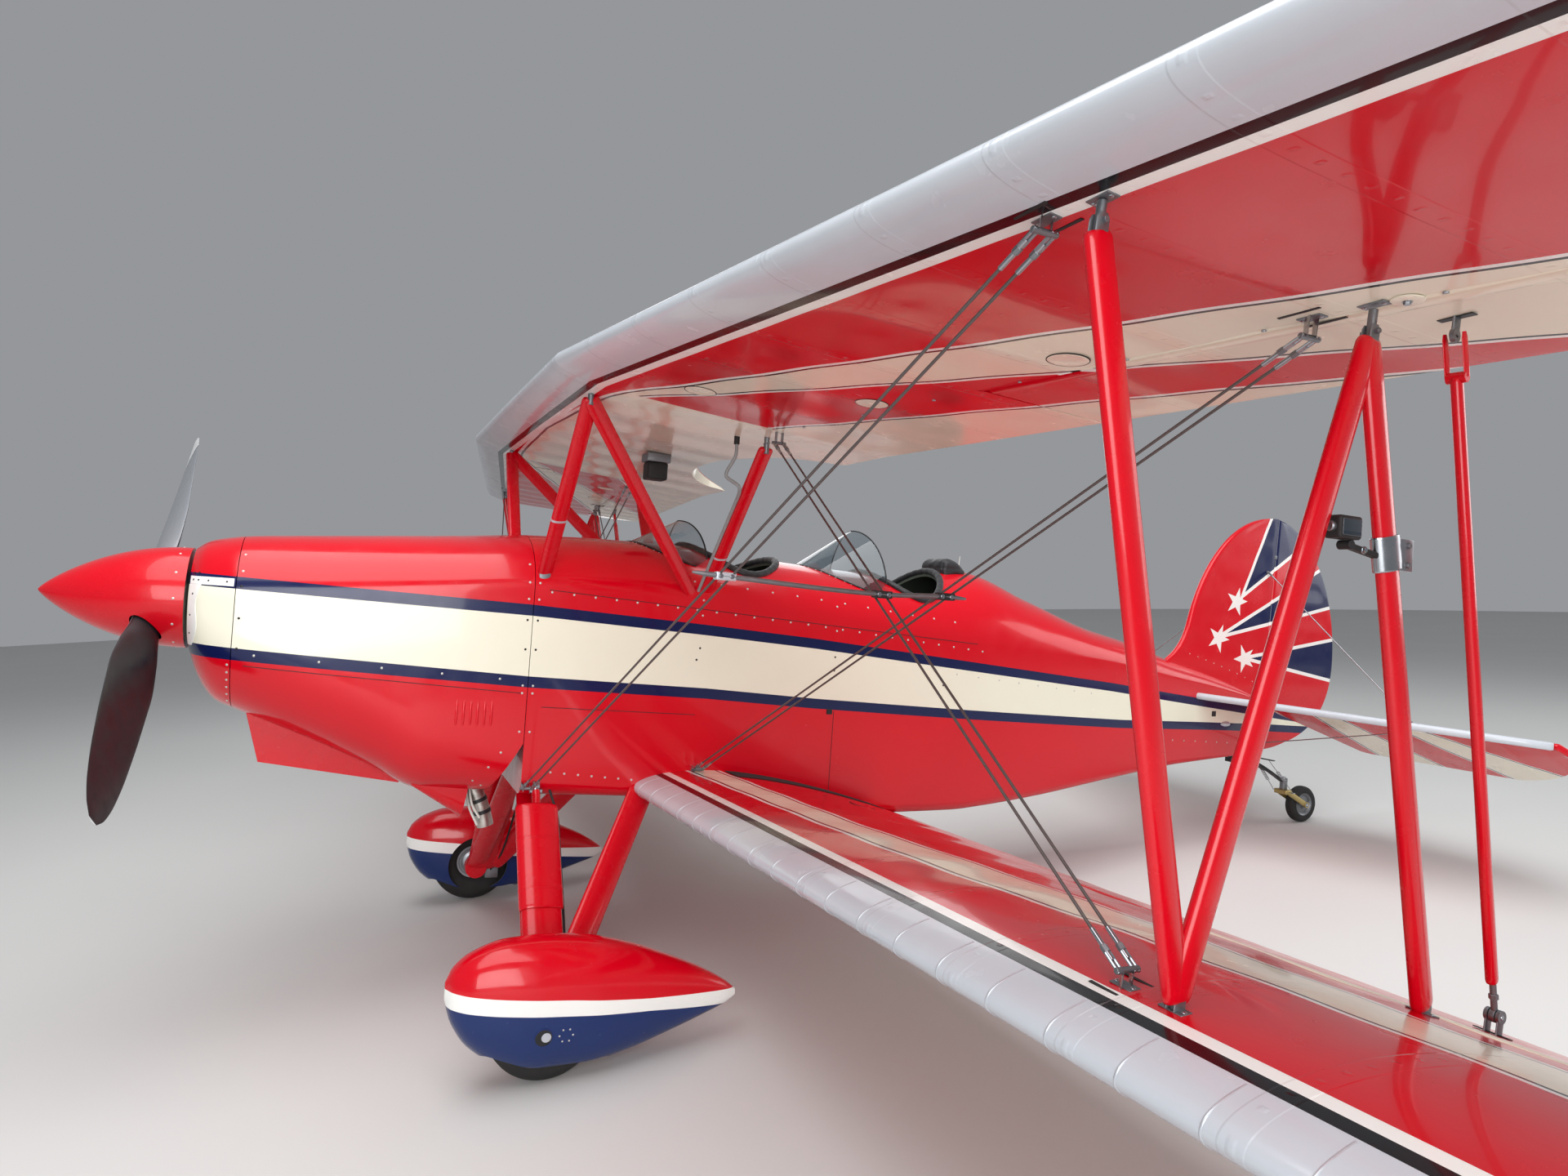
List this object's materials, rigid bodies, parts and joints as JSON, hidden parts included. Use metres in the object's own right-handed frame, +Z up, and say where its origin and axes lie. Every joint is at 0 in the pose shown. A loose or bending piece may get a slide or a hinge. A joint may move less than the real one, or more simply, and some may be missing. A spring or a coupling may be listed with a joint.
{
  "type": "biplane",
  "caption": "Two-seat open-cockpit biplane with swept upper wing, N struts, faired fixed gear, wheel spats and a tail wheel.",
  "frame": {"origin": "on the floor, at the centre of the bounding box seen from above", "axes": "+Z up, nose towards -Y, +X out along the port wing"},
  "size_m": [8.1168, 6.1648, 2.215],
  "materials": {
    "red_paint": "glossy enamel over fabric and sheet",
    "black_enamel": "satin enamel",
    "steel": "bright streamlined wire and tube",
    "tyre_rubber": "matt rubber",
    "black_leather": "padded, lightly creased",
    "clear_acrylic": "clear sheet"
  },
  "bodies": {
    "airframe": {"nose_bowl": "red_paint", "engine_cowl": "red_paint", "chin_scoop": "red_paint", "engine": "black_enamel", "exhaust_pipe": "steel", "stabiliser": "red_paint", "fin": "red_paint", "fuselage": "red_paint", "front_seat": "black_leather", "front_instrument_panel": "black_enamel", "front_windshield": "clear_acrylic", "front_coaming": "black_leather", "rear_seat": "black_leather", "rear_instrument_panel": "black_enamel", "rear_windshield": "clear_acrylic", "rear_coaming": "black_leather", "headrest": "black_leather", "upper_center_section": "red_paint", "upper_wing_left": "red_paint", "upper_wing_right": "red_paint", "lower_wing_left": "red_paint", "lower_wing_right": "red_paint", "interplane_vee_left": "red_paint", "interplane_vee_right": "red_paint", "interplane_strut_rear_left": "red_paint", "interplane_strut_rear_right": "red_paint", "cabane_vee_left": "red_paint", "cabane_vee_right": "red_paint", "cabane_strut_rear_left": "red_paint", "cabane_strut_rear_right": "red_paint", "front_flying_wires_left": "steel", "front_flying_wires_right": "steel", "rear_flying_wires_left": "steel", "rear_flying_wires_right": "steel", "landing_wires_left": "steel", "landing_wires_right": "steel", "landing_gear_left": "red_paint", "landing_gear_right": "red_paint", "wheel_spat_left": "red_paint", "wheel_spat_right": "red_paint", "axle_left": "steel", "axle_right": "steel", "tail_brace_left": "steel", "tail_brace_right": "steel", "tail_spring": "black_enamel"},
    "propeller": {"propeller": "black_enamel", "spinner": "red_paint"},
    "rudder": {"rudder": "red_paint"},
    "elevator": {"elevator": "red_paint"},
    "lower_aileron_left": {"lower_aileron_left": "red_paint"},
    "lower_aileron_right": {"lower_aileron_right": "red_paint"},
    "upper_aileron_left": {"upper_aileron_left": "red_paint"},
    "upper_aileron_right": {"upper_aileron_right": "red_paint"},
    "aileron_strut_left": {"aileron_strut_left": "red_paint"},
    "aileron_strut_right": {"aileron_strut_right": "red_paint"},
    "wheel_left": {"wheel_left": "tyre_rubber"},
    "wheel_right": {"wheel_right": "tyre_rubber"},
    "tail_wheel_fork": {"tail_wheel_fork": "steel"},
    "tail_wheel": {"tail_wheel": "tyre_rubber"}
  },
  "joints": [
    {"name": "propeller_spin", "type": "hinge", "parent": "airframe", "child": "propeller", "pos_m": [0, -2.76005, 1.4817], "axis": [0, -0.995, 0.1001], "continuous": true},
    {"name": "wheel_left_roll", "type": "hinge", "parent": "airframe", "child": "wheel_left", "pos_m": [0.91, -1.65491, 0.17948], "axis": [1, 0, 0], "continuous": true},
    {"name": "wheel_right_roll", "type": "hinge", "parent": "airframe", "child": "wheel_right", "pos_m": [-0.91, -1.65491, 0.17948], "axis": [1, 0, 0], "continuous": true},
    {"name": "rudder_hinge", "type": "hinge", "parent": "airframe", "child": "rudder", "pos_m": [0, 2.46472, 0.44828], "axis": [0, 0.1461, 0.9893], "range_deg": [-30, 30]},
    {"name": "tail_wheel_steer", "type": "hinge", "parent": "airframe", "child": "tail_wheel_fork", "pos_m": [0, 2.67005, 0.23163], "axis": [0, 0.1001, 0.995], "range_deg": [-30, 30]},
    {"name": "tail_wheel_roll", "type": "hinge", "parent": "tail_wheel_fork", "child": "tail_wheel", "pos_m": [0, 2.8048, 0.10248], "axis": [1, 0, 0], "continuous": true},
    {"name": "elevator_hinge", "type": "hinge", "parent": "airframe", "child": "elevator", "pos_m": [0, 2.43649, 0.707], "axis": [1, 0, 0], "range_deg": [0, 48]},
    {"name": "lower_aileron_left_hinge", "type": "hinge", "parent": "airframe", "child": "lower_aileron_left", "pos_m": [1.86, -0.41164, 0.63001], "axis": [0.9994, 0.0035, 0.0347], "range_deg": [-25, 25]},
    {"name": "lower_aileron_right_hinge", "type": "hinge", "parent": "airframe", "child": "lower_aileron_right", "pos_m": [-1.86, -0.41164, 0.63001], "axis": [0.9994, -0.0035, -0.0347], "range_deg": [-25, 25]},
    {"name": "upper_aileron_left_hinge", "type": "hinge", "parent": "airframe", "child": "upper_aileron_left", "pos_m": [1.86, -0.64913, 2.00713], "axis": [0.9883, 0.152, -0.0085], "range_deg": [-25, 25]},
    {"name": "upper_aileron_right_hinge", "type": "hinge", "parent": "airframe", "child": "upper_aileron_right", "pos_m": [-1.86, -0.64913, 2.00713], "axis": [0.9883, -0.152, 0.0085], "range_deg": [-25, 25]},
    {"name": "aileron_strut_left_pin", "type": "hinge", "parent": "lower_aileron_left", "child": "aileron_strut_left", "pos_m": [2.848, -0.32086, 0.71026], "axis": [0.9994, 0.0035, 0.0347], "range_deg": [-28, 28]},
    {"name": "aileron_strut_right_pin", "type": "hinge", "parent": "lower_aileron_right", "child": "aileron_strut_right", "pos_m": [-2.848, -0.32086, 0.71026], "axis": [0.9994, -0.0035, -0.0347], "range_deg": [-28, 28]}
  ],
  "couplings": [
    {"joint": "tail_wheel_steer", "follows": "rudder_hinge", "ratio": 1},
    {"joint": "lower_aileron_right_hinge", "follows": "lower_aileron_left_hinge", "ratio": -1},
    {"joint": "upper_aileron_left_hinge", "follows": "lower_aileron_left_hinge", "ratio": 1},
    {"joint": "upper_aileron_right_hinge", "follows": "lower_aileron_left_hinge", "ratio": -1},
    {"joint": "aileron_strut_left_pin", "follows": "lower_aileron_left_hinge", "ratio": -1.107},
    {"joint": "aileron_strut_right_pin", "follows": "lower_aileron_left_hinge", "ratio": 1.107}
  ]
}
